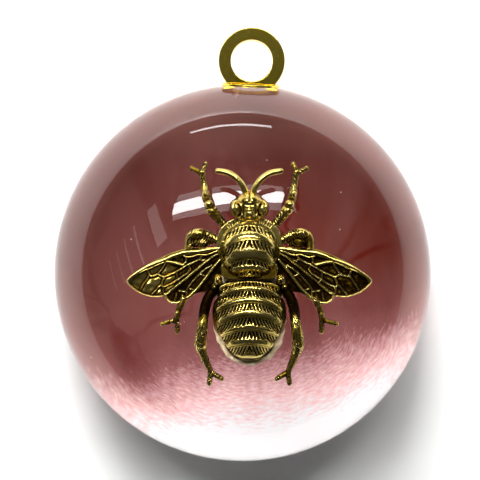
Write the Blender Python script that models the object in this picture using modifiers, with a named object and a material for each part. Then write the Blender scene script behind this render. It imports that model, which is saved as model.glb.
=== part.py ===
"""Clear hanging bauble: a flattened dome, painted on its back, with a cast brass bee glued on its
front and a gilt ring on a plate and peg at the top. Metres, +Z up, the front faces -Y. The origin is
the point inside the top of the ring where the bauble hangs."""
import bpy
import bmesh
import math
from mathutils import Matrix, Vector

MM = 0.001

# Dome: half-width, bulge of the front, depth of the back, and the rounding of its back edge
DOME_R = 38 * MM
DOME_FRONT = 25 * MM
DOME_BACK = 10 * MM
BACK_EDGE_R = 8 * MM
COAT = 0.5 * MM          # thickness of the paint coat
GAP = 0.3 * MM           # clearance between neighbouring pieces
DOME_TOP_FLAT = 37.7 * MM

# Hanger, measured along its own axis from the dome's centre, leaning a little to the right
LEAN = math.radians(2.5)
RING_OUTER_R = 6.7 * MM
RING_BORE_R = 4.2 * MM
RING_THICK = 3.0 * MM
RING_CENTRE = 43.1 * MM
PLATE_R = 5.9 * MM
PLATE_TOP = 38.8 * MM
PLATE_THICK = 0.8 * MM
PEG_R = 0.8 * MM
PEG_LENGTH = 8.0 * MM

# Bee: where it sits on the dome, and the sizes of its three body parts (half-widths and relief)
BEE_X = 1.2 * MM
BEE_BACK_Y = -25.9 * MM
WING_THICK = 1.2 * MM
BACK_STOCK = 0.4 * MM    # left on behind the bee's back until it is cut flat
HEAD = (3.7 * MM, 3.5 * MM, 2.7 * MM)
THORAX = (5.3 * MM, 5.0 * MM, 5.4 * MM)
HEAD_Z = 12.4 * MM
THORAX_Z = 4.7 * MM
ABDOMEN_R = 6.5 * MM
ABDOMEN_RELIEF = 0.78    # depth of the abdomen as a share of its half-width

HANG_POINT = Vector((math.sin(LEAN) * RING_CENTRE, 0, math.cos(LEAN) * RING_CENTRE + RING_BORE_R))

# Bee outlines for its right side, in millimetres from the bee's own axis; the left side mirrors them
FOREWING = ((3.6, 5.6), (5.4, 5.3), (12.6, 4.6), (17.0, 2.8), (20.4, 0.9), (22.2, -0.7), (21.6, -2.2),
            (19.8, -3.3), (16.1, -3.6), (12.5, -2.4), (9.0, -0.7), (4.4, 1.0))
HINDWING = ((4.4, 3.0), (9.0, 0.5), (13.5, -1.5), (15.6, -3.2), (14.8, -4.4), (12.9, -5.0),
            (10.6, -3.9), (6.4, -0.6), (4.2, 0.6))
FRONT_LEG = ((4.0, 8.0, 1.0), (5.0, 9.4, 1.0), (6.8, 12.0, 1.1), (7.9, 13.2, 1.25), (8.1, 15.2, 0.85),
             (8.3, 16.8, 0.6), (8.8, 18.6, 0.6))
MIDDLE_KNEE = ((4.8, 5.6, 1.1), (7.6, 7.1, 1.2), (9.8, 8.0, 1.3), (11.2, 7.1, 1.1), (11.4, 4.6, 1.0))
MIDDLE_FOOT = ((11.4, -3.2, 0.75), (12.6, -5.1, 0.75), (13.2, -6.9, 0.65), (13.3, -8.1, 0.6))
HIND_LEG = ((4.6, -0.4, 1.3), (6.4, -1.6, 1.2), (8.0, -4.2, 1.15), (8.5, -7.8, 1.0), (8.9, -10.4, 1.15),
            (8.8, -12.4, 1.25), (7.9, -15.0, 0.75), (6.9, -17.7, 0.7))
ANTENNA = ((0.7, 13.8, 0.6), (0.9, 15.4, 0.58), (2.0, 17.4, 0.56), (3.7, 18.7, 0.54), (6.0, 19.0, 0.52))
CLAWS = (((8.8, 18.3), (8.1, 20.2)), ((8.8, 18.3), (10.7, 19.5)),
         ((13.3, -7.8), (13.3, -10.3)), ((13.3, -7.8), (16.0, -8.7)),
         ((6.95, -17.4), (7.4, -19.7)), ((6.95, -17.4), (4.9, -18.8)))
CLAW_R = 0.45


def clear_scene():
    for ob in list(bpy.data.objects):
        bpy.data.objects.remove(ob, do_unlink=True)


def collection(name):
    coll = bpy.data.collections.new(name)
    bpy.context.scene.collection.children.link(coll)
    return coll


clear_scene()
BAUBLE = collection("bee_bauble")
CUTTERS = collection("cutters")


def principled(name, colour, metallic=0.0, roughness=0.5, transmission=0.0, ior=1.5):
    mat = bpy.data.materials.new(name)
    mat.use_nodes = True
    bsdf = mat.node_tree.nodes["Principled BSDF"]
    bsdf.inputs["Base Color"].default_value = (*colour, 1.0)
    bsdf.inputs["Metallic"].default_value = metallic
    bsdf.inputs["Roughness"].default_value = roughness
    bsdf.inputs["Transmission Weight"].default_value = transmission
    bsdf.inputs["IOR"].default_value = ior
    return mat


def clear_resin_material():
    return principled("clear_resin", (0.95, 0.94, 0.94), roughness=0.03, transmission=1.0, ior=1.49)


def pink_paint_material():
    return principled("pink_paint", (0.78, 0.36, 0.36), roughness=0.6)


def antique_brass_material():
    return principled("antique_brass", (0.55, 0.39, 0.12), metallic=1.0, roughness=0.35)


def clear_glue_material():
    return principled("clear_glue", (0.93, 0.90, 0.82), roughness=0.15, transmission=1.0, ior=1.47)


def gilt_material(name):
    return principled(name, (0.62, 0.47, 0.13), metallic=1.0, roughness=0.3)


def put_in(ob, coll):
    for other in list(ob.users_collection):
        other.objects.unlink(ob)
    coll.objects.link(ob)


def as_cutter(ob):
    put_in(ob, CUTTERS)
    ob.hide_render = True
    ob.display_type = "WIRE"
    return ob


def new_object(name, mesh, material=None):
    ob = bpy.data.objects.new(name, mesh)
    BAUBLE.objects.link(ob)
    if material is not None:
        mesh.materials.clear()
        mesh.materials.append(material)
    return ob


def evaluated_mesh(ob):
    deps = bpy.context.evaluated_depsgraph_get()
    mesh = bpy.data.meshes.new_from_object(ob.evaluated_get(deps))
    mesh.transform(ob.matrix_world)
    bm = bmesh.new()
    bm.from_mesh(mesh)
    bmesh.ops.remove_doubles(bm, verts=bm.verts, dist=1e-7)
    bmesh.ops.recalc_face_normals(bm, faces=bm.faces)
    bm.to_mesh(mesh)
    bm.free()
    return mesh


def baked(ob, name):
    """The object with its modifiers and curve made into plain mesh, in place."""
    bpy.context.view_layer.update()
    mesh = evaluated_mesh(ob)
    bpy.data.objects.remove(ob, do_unlink=True)
    return new_object(name, mesh)


def boolean(ob, other, operation):
    mod = ob.modifiers.new("bool", "BOOLEAN")
    mod.operation = operation
    mod.solver = "EXACT"
    mod.object = other
    name = ob.name
    bpy.context.view_layer.update()
    mesh = evaluated_mesh(ob)
    bpy.data.objects.remove(other, do_unlink=True)
    bpy.data.objects.remove(ob, do_unlink=True)
    return new_object(name, mesh)


def finish(ob, material, angle=math.radians(35)):
    """Give the material, shade the round parts smooth, and shift so that the origin is the hang point."""
    mesh = ob.data
    mesh.materials.clear()
    mesh.materials.append(material)
    mesh.transform(Matrix.Translation(-HANG_POINT))
    for poly in mesh.polygons:
        poly.material_index = 0
        poly.use_smooth = True
    mesh.set_sharp_from_angle(angle=angle)
    return ob


def turned(name, profile, steps):
    """A closed solid from (radius, y) points, turned about the Y axis."""
    mesh = bpy.data.meshes.new(name)
    verts = [(r, y, 0.0) for r, y in profile]
    mesh.from_pydata(verts, [(i, i + 1) for i in range(len(verts) - 1)], [])
    ob = new_object(name, mesh)
    mod = ob.modifiers.new("turn", "SCREW")
    mod.axis = "Y"
    mod.steps = mod.render_steps = steps
    mod.use_merge_vertices = True
    mod.merge_threshold = 0.00001
    mod.use_normal_calculate = True
    return baked(ob, name)


def front_arc(n, grow=0.0):
    """Front bulge from its tip out to the equator."""
    out = []
    for i in range(n + 1):
        a = math.pi / 2 * i / n
        out.append(((DOME_R + grow) * math.sin(a), -(DOME_FRONT + grow) * math.cos(a)))
    out[0] = (0.0, out[0][1])
    return out


def back_arc(start, n, inset):
    """Rounded back edge from an angle behind the equator to the flat, then the middle of the flat."""
    flat_r = DOME_R - BACK_EDGE_R
    out = []
    for i in range(n + 1):
        a = start + (math.pi / 2 - start) * i / n
        out.append((flat_r + (BACK_EDGE_R - inset) * math.cos(a), (DOME_BACK - inset) * math.sin(a)))
    out.append((0.0, DOME_BACK - inset))
    return out


def lean(ob):
    ob.data.transform(Matrix.Rotation(LEAN, 4, "Y"))
    return ob


def cylinder(name, radius, z0, z1, verts=48):
    bpy.ops.mesh.primitive_cylinder_add(vertices=verts, radius=radius, depth=z1 - z0,
                                        location=(0, 0, (z0 + z1) / 2))
    return baked(bpy.context.object, name)


def box(name, lo, hi):
    bpy.ops.mesh.primitive_cube_add(size=1.0, location=[(a + b) / 2 for a, b in zip(lo, hi)],
                                    scale=[b - a for a, b in zip(lo, hi)])
    return baked(bpy.context.object, name)


def clear_dome():
    step = back_arc(math.radians(5), 1, 0.0)[0]
    profile = front_arc(14) + [step] + back_arc(math.radians(5), 6, COAT + GAP)
    dome = turned("clear_dome", profile, 64)
    hole = lean(cylinder("peg_hole", PEG_R + GAP, PLATE_TOP - PEG_LENGTH - 1.3 * MM, 45 * MM, 24))
    dome = boolean(dome, as_cutter(hole), "DIFFERENCE")
    flat = lean(box("top_flat", (-20 * MM, -20 * MM, DOME_TOP_FLAT), (20 * MM, 20 * MM, 50 * MM)))
    dome = boolean(dome, as_cutter(flat), "DIFFERENCE")
    return finish(dome, clear_resin_material())


def pink_backing():
    outer = back_arc(math.radians(8), 7, 0.0)
    inner = back_arc(math.radians(8), 7, COAT)
    coat = turned("pink_backing", outer[::-1] + inner, 64)
    return finish(coat, pink_paint_material())


def glue_pad():
    bpy.ops.mesh.primitive_cylinder_add(vertices=40, radius=1.0, depth=10 * MM,
                                        location=(BEE_X, BEE_BACK_Y + GAP + 5 * MM, -3.2 * MM),
                                        rotation=(math.pi / 2, 0, 0), scale=(7.0 * MM, 13.0 * MM, 1))
    pad = baked(bpy.context.object, "glue_pad")
    bump = turned("dome_cutter", front_arc(16, GAP) + [(0.0, 0.0)], 64)
    pad = boolean(pad, as_cutter(bump), "DIFFERENCE")
    return finish(pad, clear_glue_material())


def hanging_ring():
    profile = [(RING_BORE_R, -RING_THICK / 2), (RING_OUTER_R, -RING_THICK / 2),
               (RING_OUTER_R, RING_THICK / 2), (RING_BORE_R, RING_THICK / 2),
               (RING_BORE_R, -RING_THICK / 2)]
    ring = turned("hanging_ring", profile, 56)
    ring.data.transform(Matrix.Translation((0, 0, RING_CENTRE)))
    foot = box("ring_foot", (-20 * MM, -20 * MM, 20 * MM), (20 * MM, 20 * MM, PLATE_TOP + GAP))
    ring = boolean(ring, as_cutter(foot), "DIFFERENCE")
    return finish(lean(ring), gilt_material("gilt_ring"), math.radians(30))


def ring_plate():
    plate = cylinder("ring_plate", PLATE_R, PLATE_TOP - PLATE_THICK, PLATE_TOP, 48)
    return finish(lean(plate), gilt_material("gilt_plate"), math.radians(30))


def ring_peg():
    top = PLATE_TOP - PLATE_THICK - GAP
    peg = cylinder("ring_peg", PEG_R, top - PEG_LENGTH, top, 24)
    return finish(lean(peg), gilt_material("gilt_peg"), math.radians(30))


def ellipsoid(name, centre, radii, segments=28, rings=18):
    bpy.ops.mesh.primitive_uv_sphere_add(segments=segments, ring_count=rings, radius=1.0,
                                         location=centre, scale=radii)
    return baked(bpy.context.object, name)


def rod(name, points, side, resolution=2):
    """A tube through (x, z, radius) points in millimetres, lying on the plane of the bee's back."""
    curve = bpy.data.curves.new(name, "CURVE")
    curve.dimensions = "3D"
    curve.bevel_depth = 1.0
    curve.bevel_resolution = resolution
    curve.use_fill_caps = True
    spline = curve.splines.new("POLY")
    spline.points.add(len(points) - 1)
    for p, (x, z, r) in zip(spline.points, points):
        p.co = (BEE_X + side * x * MM, BEE_BACK_Y - 0.55 * r * MM, z * MM, 1.0)
        p.radius = r * MM
    ob = bpy.data.objects.new(name, curve)
    BAUBLE.objects.link(ob)
    return baked(ob, name)


def wing(name, outline, side, thick):
    curve = bpy.data.curves.new(name, "CURVE")
    curve.dimensions = "2D"
    curve.fill_mode = "BOTH"
    curve.extrude = thick / 2 + BACK_STOCK / 2
    spline = curve.splines.new("POLY")
    spline.points.add(len(outline) - 1)
    spline.use_cyclic_u = True
    for p, (x, z) in zip(spline.points, outline):
        p.co = (side * x * MM, z * MM, 0.0, 1.0)
    ob = bpy.data.objects.new(name, curve)
    BAUBLE.objects.link(ob)
    ob.rotation_euler = (math.pi / 2, 0, 0)
    ob.location = (BEE_X, BEE_BACK_Y - thick / 2 + BACK_STOCK / 2, 0)
    return baked(ob, name)


def abdomen():
    """A banded, turned body lying along Z: five rolls that swell and then taper to a blunt tip."""
    rows = ((0.0, -0.5), (4.6, -0.5), (5.4, -1.3), (5.9, -2.6), (5.75, -3.0), (6.3, -4.6), (6.4, -5.6),
            (6.2, -6.0), (6.5, -7.4), (6.35, -8.4), (6.0, -8.7), (5.9, -10.0), (5.35, -11.2),
            (5.0, -11.5), (4.3, -13.1), (3.0, -14.4), (1.5, -15.1), (0.0, -15.25))
    mesh = bpy.data.meshes.new("abdomen")
    scale = ABDOMEN_R / 6.5
    mesh.from_pydata([(r * scale, 0.0, z * MM) for r, z in rows],
                     [(i, i + 1) for i in range(len(rows) - 1)], [])
    ob = new_object("abdomen", mesh)
    mod = ob.modifiers.new("turn", "SCREW")
    mod.steps = mod.render_steps = 32
    mod.use_merge_vertices = True
    mod.merge_threshold = 0.00001
    mod.use_normal_calculate = True
    ob.scale = (1.0, ABDOMEN_RELIEF, 1.0)
    ob.location = (BEE_X, BEE_BACK_Y, 0)
    bpy.context.view_layer.update()
    return baked(ob, "abdomen")


def bee_solids():
    out = [ellipsoid("head", (BEE_X, BEE_BACK_Y, HEAD_Z), HEAD, 24, 16), abdomen()]
    out.append(ellipsoid("waist", (BEE_X, BEE_BACK_Y, -0.2 * MM), (4.8 * MM, 2.6 * MM, 1.6 * MM), 20, 12))
    for side in (-1, 1):
        out.append(wing("forewing", FOREWING, side, WING_THICK))
        out.append(wing("hindwing", HINDWING, side, WING_THICK * 0.7))
        for name, points in (("front_leg", FRONT_LEG), ("middle_knee", MIDDLE_KNEE),
                             ("middle_foot", MIDDLE_FOOT), ("hind_leg", HIND_LEG), ("antenna", ANTENNA)):
            out.append(rod(name, points, side))
        for a, b in CLAWS:
            out.append(rod("claw", ((*a, CLAW_R), (*b, CLAW_R * 0.8)), side, 1))
        eye = (BEE_X + side * 2.75 * MM, BEE_BACK_Y - 1.9 * MM, 12.3 * MM)
        out.append(ellipsoid("eye", eye, (1.15 * MM, 1.5 * MM, 1.45 * MM), 16, 10))
    return out


def brass_bee():
    bee = ellipsoid("thorax", (BEE_X, BEE_BACK_Y, THORAX_Z), THORAX)
    bee.name = "brass_bee"
    for solid in bee_solids():
        bee = boolean(bee, solid, "UNION")
    behind = box("behind", (-30 * MM, BEE_BACK_Y, -30 * MM), (31 * MM, BEE_BACK_Y + 12 * MM, 33 * MM))
    bee = boolean(bee, as_cutter(behind), "DIFFERENCE")
    return finish(bee, antique_brass_material(), math.radians(45))


clear_dome()
pink_backing()
glue_pad()
brass_bee()
hanging_ring()
ring_plate()
ring_peg()
for piece in BAUBLE.objects:
    print(piece.name, len(piece.data.polygons), [round(v * 1000, 2) for v in piece.dimensions])
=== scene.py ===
# %% [markdown]
# # A clear bauble with a brass bee
# This lesson builds a hanging bauble: a flattened dome of clear resin, pink paint brushed on its back,
# a cast brass bee glued on its front, and a gilt ring at the top. The measured model is loaded first.

# %% Load the measured model
import math
import bpy
import numpy as np
from mathutils import Matrix, Vector, noise


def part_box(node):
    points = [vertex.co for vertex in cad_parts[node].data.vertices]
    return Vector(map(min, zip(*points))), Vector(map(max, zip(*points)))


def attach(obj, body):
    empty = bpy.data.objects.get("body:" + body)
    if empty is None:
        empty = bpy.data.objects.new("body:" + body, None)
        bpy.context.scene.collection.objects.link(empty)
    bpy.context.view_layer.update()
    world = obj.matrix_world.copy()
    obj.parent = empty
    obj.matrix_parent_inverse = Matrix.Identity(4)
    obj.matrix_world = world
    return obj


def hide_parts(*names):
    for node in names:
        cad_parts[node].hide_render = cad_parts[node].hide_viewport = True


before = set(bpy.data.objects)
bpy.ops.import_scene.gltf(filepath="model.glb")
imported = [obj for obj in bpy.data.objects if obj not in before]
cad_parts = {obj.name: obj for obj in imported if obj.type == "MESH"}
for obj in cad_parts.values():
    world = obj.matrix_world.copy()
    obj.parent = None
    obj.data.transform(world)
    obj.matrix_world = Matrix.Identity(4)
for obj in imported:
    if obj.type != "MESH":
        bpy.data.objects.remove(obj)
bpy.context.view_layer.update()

MM = 0.001

# %% [markdown]
# The measured pieces say where everything goes. The dome's half-width and centre come from its own box,
# and the bee's back plane and middle from the bee's.

# %% Read the sizes of the measured pieces
dome_low, dome_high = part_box("clear_dome")
bee_low, bee_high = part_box("brass_bee")
DOME_R = (dome_high[0] - dome_low[0]) / 2
DOME_X = (dome_low[0] + dome_high[0]) / 2
DOME_Z = dome_low[2] + DOME_R
DOME_FRONT = -dome_low[1]
DOME_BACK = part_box("pink_backing")[1][1]
BEE_X = (bee_low[0] + bee_high[0]) / 2
BEE_BACK_Y = bee_high[1]
print("dome half-width, front and back, mm:", [round(v / MM, 2) for v in (DOME_R, DOME_FRONT, DOME_BACK)])

# %% [markdown]
# Operators act on whatever is selected, so a few helpers keep the selection clean. Two more cut a mesh
# along a plane and weld its loose points.

# %% Helpers for selecting and applying
def only(obj):
    """Select one object alone and make it active."""
    if bpy.context.object and bpy.context.object.mode != "OBJECT":
        bpy.ops.object.mode_set(mode="OBJECT")
    bpy.ops.object.select_all(action="DESELECT")
    obj.select_set(True)
    bpy.context.view_layer.objects.active = obj
    return obj


def apply_place(obj):
    """Put the object's place and size into its mesh."""
    only(obj)
    bpy.ops.object.transform_apply(location=True, rotation=True, scale=True)
    return obj


def apply_modifiers(obj):
    only(obj)
    for modifier in list(obj.modifiers):
        bpy.ops.object.modifier_apply(modifier=modifier.name)
    return obj


def open_for_editing(obj):
    only(obj)
    bpy.ops.object.mode_set(mode="EDIT")
    bpy.ops.mesh.select_all(action="SELECT")


def slice_off(obj, point, facing, **options):
    """Cut the mesh along a plane and drop one side of it."""
    open_for_editing(obj)
    bpy.ops.mesh.bisect(plane_co=point, plane_no=facing, **options)
    bpy.ops.object.mode_set(mode="OBJECT")
    return obj


def weld(obj):
    """Join points that lie on each other, and turn every face outwards."""
    open_for_editing(obj)
    bpy.ops.mesh.remove_doubles(threshold=0.0005)
    bpy.ops.mesh.normals_make_consistent(inside=False)
    bpy.ops.object.mode_set(mode="OBJECT")
    return obj


def named(obj, name):
    obj.name = name
    obj.data.name = name
    return obj


def triangles(obj):
    return sum(len(face.vertices) - 2 for face in obj.data.polygons)

# %% [markdown]
# The bauble hangs at eye height, so the camera looks level along +Y, from a little above the dome's
# middle. A long lens flattens the dome as a close-up taken from a step back does. The depth of field is
# left off, because a small object that is wholly sharp can be judged all over.

# %% Camera
def added(name, data):
    """Put an object with this data in the scene."""
    obj = bpy.data.objects.new(name, data)
    bpy.context.scene.collection.objects.link(obj)
    return obj


CAMERA_BACK = 260 * MM
CAMERA_LEFT = 0.5 * MM
CAMERA_ABOVE = 6.6 * MM
camera_data = bpy.data.cameras.new("camera")
camera_data.sensor_width = 36.0
camera_data.lens = 96.2
camera_data.clip_start = 0.01
camera = added("camera", camera_data)
camera.location = (DOME_X - CAMERA_LEFT, -CAMERA_BACK, DOME_Z + CAMERA_ABOVE)
camera.rotation_euler = (math.radians(90), 0, 0)
bpy.context.scene.camera = camera
bpy.context.scene.view_settings.view_transform = "Standard"

# %% [markdown]
# A glossy dome shows the room's lights as shapes on its front, so each light is a plain rectangle with
# the outline that its mirror image should have: a wide window band, its paler frame, slats to one side,
# and a long tube above. They could be painted on the resin, but a real lamp also moves with the view. The
# soft light comes from above, from two panels that gloss doesn't show, and another panel lights the back.

# %% Lights
def soft_light(name, location, size, energy, roll=0, aim=None):
    """A rectangular light that faces the dome, or the way that aim points. The roll is in degrees."""
    data = bpy.data.lights.new(name, "AREA")
    data.shape = "RECTANGLE"
    data.size, data.size_y = size
    data.energy = energy
    light = added(name, data)
    centre = Vector((DOME_X, 0, DOME_Z))
    light.location = centre + Vector(location)
    direction = Vector(aim) if aim else centre - light.location
    turn = direction.to_track_quat("-Z", "Y")
    light.rotation_euler = (turn.to_matrix() @ Matrix.Rotation(math.radians(roll), 3, "Z")).to_euler()
    return light


FORWARD = (0, 1, 0)
SLATS = ((-1.16, 0.32, 0.085), (-1.38, 0.20, 0.07), (-1.64, 0.08, 0.05), (-2.0, -0.06, 0.06))
soft_light("window_band", (-0.11, -1.0, 0.635), (1.1, 0.14), 10.5, 4, FORWARD)
soft_light("window_frame", (-0.09, -1.03, 0.66), (1.14, 0.31), 2.8, 3, FORWARD)
soft_light("side_panel", (-0.88, -1.0, 0.50), (0.14, 0.58), 0.4, 35, FORWARD)
for number, (across, up, energy) in enumerate(SLATS):
    soft_light("side_slat_" + str(number), (across, -1.0, up), (0.035, 0.62), energy, 38 + 2 * number, FORWARD)
soft_light("ceiling_tube", (-0.085, -0.21, 1.0), (0.58, 0.032), 0.8, aim=(0, 0.21, -1.0))
for name, location, size, energy in (("sky", (-0.16, -0.6, 0.78), (0.5, 0.35), 14),
                                     ("sky_above", (-0.1, -0.2, 1.0), (0.5, 0.3), 12),
                                     ("back_light", (0.5, 1.1, 0.6), (0.8, 0.6), 9)):
    light = soft_light(name, location, size, energy)
    light.visible_glossy = False
    light.visible_transmission = name != "back_light"

# %% [markdown]
# Every finish here is built from nodes. A few helpers add one node, fill its sockets and join it up, so
# that a material reads as a short list of steps. The last one measures places from the dome's middle.

# %% Helpers for material nodes
def new_material(name):
    """A new material, its node tree and its Principled shader."""
    material = bpy.data.materials.new(name)
    material.use_nodes = True
    return material, material.node_tree, material.node_tree.nodes["Principled BSDF"]


def new_group(name, inputs, outputs):
    """An empty node group and its two end nodes. Inputs have names and socket types, outputs are numbers."""
    group = bpy.data.node_groups.new(name, "ShaderNodeTree")
    for label, kind in inputs:
        group.interface.new_socket(label, in_out="INPUT", socket_type=kind)
    for label in outputs:
        group.interface.new_socket(label, in_out="OUTPUT", socket_type="NodeSocketFloat")
    return group, group.nodes.new("NodeGroupInput"), group.nodes.new("NodeGroupOutput")


def fill(tree, target, inputs):
    """Give a node's sockets numbers, vectors or colours, or join other nodes' sockets to them."""
    for name, value in inputs.items():
        socket = target.inputs[name]
        if isinstance(value, (int, float)):
            socket.default_value = value
        elif isinstance(value, tuple):
            socket.default_value = value if socket.type == "VECTOR" else (*value, 1)
        elif value is not None:
            tree.links.new(value, socket)


def node(tree, kind, inputs, output=0, **settings):
    """Add a node, choose its settings, fill its sockets, and hand back one of its outputs."""
    made = tree.nodes.new("ShaderNode" + kind)
    for name, value in settings.items():
        setattr(made, name, value)
    fill(tree, made, inputs)
    return made.outputs[output]


def math_node(tree, operation, a, b=None, clamp=False):
    return node(tree, "Math", {0: a, 1: b}, operation=operation, use_clamp=clamp)


def plus(tree, a, b, clamp=False):
    return math_node(tree, "ADD", a, b, clamp)


def minus(tree, a, b):
    return math_node(tree, "SUBTRACT", a, b)


def times(tree, a, b, clamp=False):
    return math_node(tree, "MULTIPLY", a, b, clamp)


def map_range(tree, value, low, high, to_low=0.0, to_high=1.0, eased=False):
    """Spread what lies between low and high over to_low to to_high, with soft ends if eased."""
    ends = {"Value": value, "From Min": low, "From Max": high, "To Min": to_low, "To Max": to_high}
    return node(tree, "MapRange", ends, "Result", interpolation_type="SMOOTHSTEP" if eased else "LINEAR")


def noise_node(tree, vector, scale, detail=3.0, roughness=0.55, distortion=0.0):
    return node(tree, "TexNoise", {"Vector": vector, "Scale": scale, "Detail": detail, "Roughness": roughness,
                                   "Distortion": distortion}, "Fac")


def voronoi_node(tree, vector, scale, feature="F1"):
    return node(tree, "TexVoronoi", {"Vector": vector, "Scale": scale}, "Distance", feature=feature)


def mix_colour(tree, factor, a, b):
    return node(tree, "Mix", {"Factor": factor, "A": a, "B": b}, "Result", data_type="RGBA")


def mask_ramp(tree, factor, *stops):
    """A ramp of greys through (position, level) stops."""
    colour = node(tree, "ValToRGB", {"Fac": factor}, "Color")
    ramp = colour.node.color_ramp.elements
    ramp.remove(ramp[-1])
    for number, (position, level) in enumerate(stops):
        stop = ramp.new(position) if number else ramp[0]
        stop.position, stop.color = position, (level, level, level, 1)
    return colour


def across_and_up(tree, place):
    split = node(tree, "SeparateXYZ", {0: place}).node
    return split.outputs["X"], split.outputs["Z"]


def centred(tree):
    """Object coordinates measured from the dome's middle, in dome radii."""
    return node(tree, "Mapping", {"Vector": node(tree, "TexCoord", {}, "Object"), "Location": (DOME_X, 0, DOME_Z),
                                  "Scale": (DOME_R, DOME_R, DOME_R)}, vector_type="TEXTURE")

# %% [markdown]
# The room round the bauble is nearly dark, so that the brass keeps its black hollows, but the camera
# itself sees a bright white backdrop. A Light Path node tells the two kinds of ray apart.

# %% Backdrop
world = bpy.data.worlds.new("room")
bpy.context.scene.world = world
world.use_nodes = True
tree = world.node_tree
level = node(tree, "Mix", {"Factor": node(tree, "LightPath", {}, "Is Camera Ray"), "A": 0.035, "B": 0.85}, "Result")
fill(tree, tree.nodes["Background"], {"Color": (1.0, 0.99, 0.98), "Strength": level})

# %% [markdown]
# The bauble hangs against a white wall, which takes its soft shadow, above a plain pale floor. The wall
# is see-through from behind and lets light past, so that the painted back can be seen and lit. The floor
# is far below and very wide, and glows a little so that it is pale without a lamp. It doesn't show in
# gloss or through the resin, which keeps a horizon line off the dome.

# %% Wall and floor
def plain(name, colour):
    material, tree, shader = new_material(name)
    fill(tree, shader, {"Base Color": colour, "Roughness": 0.9})
    return material, tree, shader


WALL_Y = DOME_BACK + 1.5 * MM
FLOOR_DOWN = 0.9
bpy.ops.mesh.primitive_plane_add(size=3.0, location=(DOME_X, WALL_Y, DOME_Z + 1.0), rotation=(math.radians(90), 0, 0))
wall = apply_place(named(bpy.context.object, "wall"))
wall_paint, tree, shader = plain("wall_paint", (0.88, 0.88, 0.87))
from_behind = node(tree, "NewGeometry", {}, "Backfacing")
open_to = math_node(tree, "MAXIMUM", from_behind, node(tree, "LightPath", {}, "Is Shadow Ray"))
wall_surface = node(tree, "MixShader", {0: open_to, 1: shader.outputs[0], 2: node(tree, "BsdfTransparent", {})})
fill(tree, tree.nodes["Material Output"], {"Surface": wall_surface})
wall.data.materials.append(wall_paint)

bpy.ops.mesh.primitive_plane_add(size=60.0, location=(0, 0, DOME_Z - FLOOR_DOWN))
floor = apply_place(named(bpy.context.object, "floor"))
floor_paint, tree, shader = plain("floor_paint", (0.85, 0.85, 0.84))
fill(tree, shader, {"Emission Color": (1.0, 0.99, 0.98), "Emission Strength": 0.4})
floor.data.materials.append(floor_paint)
floor.visible_glossy = False
floor.visible_diffuse = False
floor.visible_transmission = False
print("wall at", round(WALL_Y / MM, 1), "mm behind the rim plane")

# %% [markdown]
# The dome is one clear casting: a bulging front, a thin rounded edge, and a flat back. It could be spun
# from a profile, but a sphere pushed into shape point by point keeps even, fine facets, which matters
# because clear resin shows every flat spot. The paint coat uses the same helper, so that the two fit.

# %% Shape shared by the dome and its paint
FLAT_SHARE = 0.79


def turned_body(name, segments, rings, inset=0.0):
    """A sphere pushed into the bauble's shape: a bulging front, and a rounded edge round a flat back."""
    bpy.ops.mesh.primitive_uv_sphere_add(segments=segments, ring_count=rings, radius=1.0,
                                         rotation=(math.radians(90), 0, 0))
    body = apply_place(named(bpy.context.object, name))
    flat_r = DOME_R * FLAT_SHARE
    edge = DOME_R - flat_r
    for vert in body.data.vertices:
        x, y, z = vert.co
        across = math.hypot(x, z)
        if y <= 0:
            radius = (DOME_R - inset) * across
            depth = (DOME_FRONT - inset) * y
        else:
            turn = math.atan2(y, across) / math.radians(45)
            if turn < 1:
                radius = flat_r + (edge - inset) * math.cos(turn * math.pi / 2)
                depth = (DOME_BACK - inset) * math.sin(turn * math.pi / 2)
            else:
                radius = flat_r * (2 - turn)
                depth = DOME_BACK - inset
        scale = radius / across if across > 1e-6 else 0.0
        vert.co = (DOME_X + x * scale, depth, DOME_Z + z * scale)
    return body

# %% [markdown]
# The dome's crown is ground slightly flat where the hanger stands. The hanger leans a little to one
# side, so the flat leans with it: each point above the flat is brought down onto it.

# %% Dome
dome = turned_body("dome", 256, 160)
LEAN = math.radians(2.5)
TOP_FLAT = 37.7 * MM
for vert in dome.data.vertices:
    above = (vert.co.x - DOME_X) * math.sin(LEAN) + (vert.co.z - DOME_Z) * math.cos(LEAN) - TOP_FLAT
    if above > 0:
        vert.co.x -= above * math.sin(LEAN)
        vert.co.z -= above * math.cos(LEAN)
only(dome)
bpy.ops.object.shade_smooth()
print("dome", triangles(dome))

# %% [markdown]
# Clear casting resin is see-through by plain transmission, with the refractive index of acrylic. Its
# skin is polished, but it holds a few specks of dust. They are the middles of Voronoi cells, thinned
# out by a noise, and all they change is the roughness.

# %% Clear resin
clear_resin, tree, shader = new_material("clear_resin")
place = centred(tree)


def specks(scale, size, patch_scale, patch_detail):
    """The middles of Voronoi cells, kept only where a noise is high."""
    dots = math_node(tree, "LESS_THAN", voronoi_node(tree, place, scale), size)
    kept = math_node(tree, "GREATER_THAN", noise_node(tree, place, patch_scale, patch_detail), 0.52)
    return times(tree, dots, kept)


dust = math_node(tree, "MAXIMUM", specks(13.0, 0.04, 3.0, 0.0), times(tree, specks(31.0, 0.05, 9.0, 1.0), 0.4))
fill(tree, shader, {"Base Color": (1, 1, 1), "Transmission Weight": 1.0, "Roughness": 0.0, "IOR": 1.49})
fill(tree, shader, {"Roughness": times(tree, dust, 0.6)})
dome.data.materials.append(clear_resin)
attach(dome, "root")
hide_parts("clear_dome")

# %% [markdown]
# The pink is paint on the back of the resin, and you look at it through the dome. It is a real coat
# here, a thin shell that wraps the back and stops just short of the front, with a hand-cut, wavy edge.
# The shell is the shared shape, bisected, and Solidify gives it its thickness. Its inner skin is
# marked with an attribute, because only that side is seen through resin.

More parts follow.
